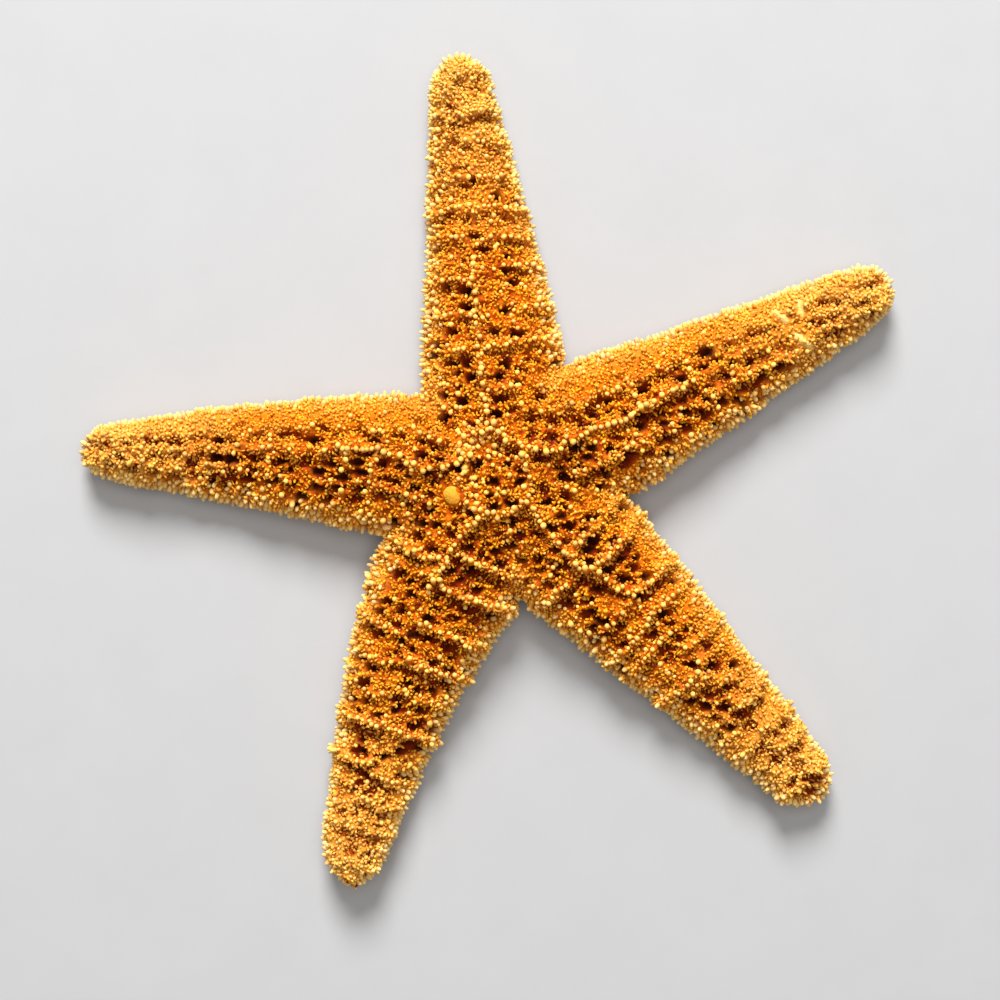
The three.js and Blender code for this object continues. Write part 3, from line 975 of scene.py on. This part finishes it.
# The sieve plate
# One smooth tan button of chalk, set in the skin to one side of the disc's middle, with fine grooves
# winding out from its centre.
PLATE_WIDTH = 3.8
PLATE_RISE = 0.8
PLATE_LIFT = 0.55
PLATE_GROOVES = 15
PLATE_GROOVE_DEPTH = 0.15
PLATE_TAN = (0.58, 0.24, 0.011)
PLATE_YELLOW = (0.74, 0.36, 0.026)
plate_spot, plate_facing = dropped(PLATE_PLACE[None])[1:]
plate_axis = Vector(plate_facing[0] + [0, 0, 2]).normalized()
bpy.ops.object.select_all(action="DESELECT")
bpy.ops.mesh.primitive_uv_sphere_add(segments=72, ring_count=24, radius=PLATE_WIDTH / 2 * MM,
                                     rotation=plate_axis.to_track_quat("Z", "Y").to_euler(),
                                     location=(Vector(plate_spot[0]) + PLATE_LIFT * plate_axis) * MM)
plate = bpy.context.object
plate.name = "sieve_plate"
plate.scale = (1.08, 0.94, PLATE_RISE / PLATE_WIDTH * 2)
bpy.ops.object.transform_apply(location=True, rotation=True, scale=True)
set_in_order(plate)
plate_points, plate_normals = read_mesh(plate)
outward = (plate_points[:, :2] - plate_spot[0][:2]) / (PLATE_WIDTH / 2)
share = np.linalg.norm(outward, axis=1)
turns = np.arctan2(outward[:, 1], outward[:, 0]) + 0.5 * rumple(plate_points, 0.7)
grooves = 0.5 + 0.5 * np.sin(PLATE_GROOVES * turns)
grooves *= eased(0.15, 0.5, share) * (1 - eased(0.85, 1, share)) * (plate_normals[:, 2] > 0.2)
plate_points -= plate_normals * PLATE_GROOVE_DEPTH * grooves[:, None]
rim = rumple(flat(outward / np.maximum(share, 0.01)[:, None]), 0.8)
plate_points[:, :2] += outward * 0.3 * rim[:, None]
write_mesh(plate, plate_points)
shade_smooth(plate)
plate_finish = Finish("plate_chalk", Roughness=0.7, Specular_IOR_Level=0.2)
plate_finish.base(plate_finish.mixed(plate_finish.grain(900), PLATE_TAN, PLATE_YELLOW))
plate_finish.bump(plate_finish.grain(3000, 2), 0.12 * MM, 0.5)
dress(plate, plate_finish.material)

# The sole
# Under each arm a groove runs to the mouth in the middle. Slender spines lean over the groove from both
# sides and over the mouth, shrivelled feet line the groove, and short pegs carry the rest of the sole.
PEG_GAP = 1.05
PEG_TRIES = 30000
GROOVE_SPINE_PITCH = 1.4
FEET_PITCH = 1.5
MOUTH_SPINES = 30
slender_pattern = grown(6, [(0.8, -0.15), (1, 0.1), (0.8, 0.75), (0.5, 0.95), (0, 1)])


def raised(plan):
    """Where points of the plan meet the skin from below, and which of them do."""
    hits = [skin_surface.ray_cast(Vector((x, y, -20)), Vector((0, 0, 1))) for x, y in plan]
    return np.array([hit[0] for hit in hits if hit[0]]), np.array([hit[0] is not None for hit in hits])


def above_floor(places, axes, lengths):
    """The lengths, cut so that no tip goes below the floor."""
    drop = np.maximum(-axes[:, 2] / np.linalg.norm(axes, axis=1), 0.05)
    return np.clip((places[:, 2] - 0.3) / drop, 0.3, lengths)


peg_places, peg_facing = sampled(PEG_TRIES, facing[:, 2] < -0.35)
kept = spread(peg_places, PEG_GAP)
peg_places, peg_facing = peg_places[kept], peg_facing[kept]
clear = groove_rise(peg_places[:, :2]) < 0.25
peg_places, peg_axes = peg_places[clear], peg_facing[clear] + dice.normal(0, 0.12, (clear.sum(), 3))
peg_count = len(peg_places)
pegs = strewn("sole_pegs", granule_pattern, peg_places, peg_axes, dice.uniform(0.46, 0.62, peg_count),
              above_floor(peg_places, peg_axes, dice.uniform(0.9, 1.5, peg_count)), uneven=0.15,
              shade=dice.random(peg_count), pale=np.full(peg_count, 0.6), hollow=np.zeros(peg_count))
dress(pegs, knob_finish("sole_chalk", foot=(0.58, 0.22, 0.012), body=(0.78, 0.42, 0.06),
                        tip=(0.86, 0.56, 0.15), pale=(0.88, 0.60, 0.20), hollow_shade_colour=SHADED_HOLLOW_BROWN))

groove_spots = []
groove_leans = []
feet_spots = []
for arm in ARMS:
    run = np.arange(7.5, arm.end - 4, GROOVE_SPINE_PITCH)
    feet_run = np.arange(6, arm.end - 5, FEET_PITCH)
    for side in (-1, 1):
        for row_share, lean in ((1.12, 0.9), (1.5, 0.35)):
            offsets = side * row_share * GROOVE_SHARE * arm.half_width(run)
            groove_spots.append(arm.plan(run + dice.normal(0, 0.15, len(run)), offsets))
            groove_leans.append(np.tile([*(-side * lean * arm.left), -0.55], (len(run), 1)))
        feet_spots.append(arm.plan(feet_run, side * 0.4 * GROOVE_SHARE * arm.half_width(feet_run)))
mouth_turns = np.linspace(0, 2 * np.pi, MOUTH_SPINES, endpoint=False)
mouth_ring = np.column_stack([np.cos(mouth_turns), np.sin(mouth_turns)])
groove_spots.append(CENTRE + mouth_ring * MOUTH_RADIUS * 1.05)
groove_leans.append(np.column_stack([-mouth_ring, np.full(len(mouth_ring), -0.35)]))
slender_places, found = raised(np.concatenate(groove_spots))
slender_axes = np.concatenate(groove_leans)[found] + dice.normal(0, 0.12, (len(slender_places), 3))
slender_count = len(slender_places)
slender = strewn("groove_spines", slender_pattern, slender_places, slender_axes,
                 dice.uniform(0.3, 0.42, slender_count),
                 above_floor(slender_places, slender_axes, dice.uniform(2.0, 2.8, slender_count)), uneven=0.1,
                 shade=dice.random(slender_count), pale=np.full(slender_count, 0.8),
                 hollow=np.zeros(slender_count))
dress(slender, knob_finish("groove_chalk", foot=(0.45, 0.16, 0.015), body=(0.74, 0.42, 0.09),
                           tip=(0.88, 0.64, 0.24), pale=(0.90, 0.68, 0.28), hollow_shade_colour=SHADED_HOLLOW_BROWN))
feet_places, found = raised(np.concatenate(feet_spots))
feet_axes = np.tile([0.0, 0.0, -1.0], (len(feet_places), 1)) + dice.normal(0, 0.2, (len(feet_places), 3))
feet_count = len(feet_places)
feet = strewn("tube_feet", bead_pattern, feet_places, feet_axes, dice.uniform(0.35, 0.5, feet_count),
              above_floor(feet_places, feet_axes, dice.uniform(1.0, 1.6, feet_count)), uneven=0.2,
              shade=dice.random(feet_count), pale=np.zeros(feet_count), hollow=np.full(feet_count, 0.2))
dress(feet, knob_finish("dried_feet", foot=(0.20, 0.06, 0.01), body=(0.42, 0.16, 0.025),
                        tip=(0.55, 0.25, 0.05), pale=(0.6, 0.3, 0.08), hollow_shade_colour=SHADED_HOLLOW_BROWN))
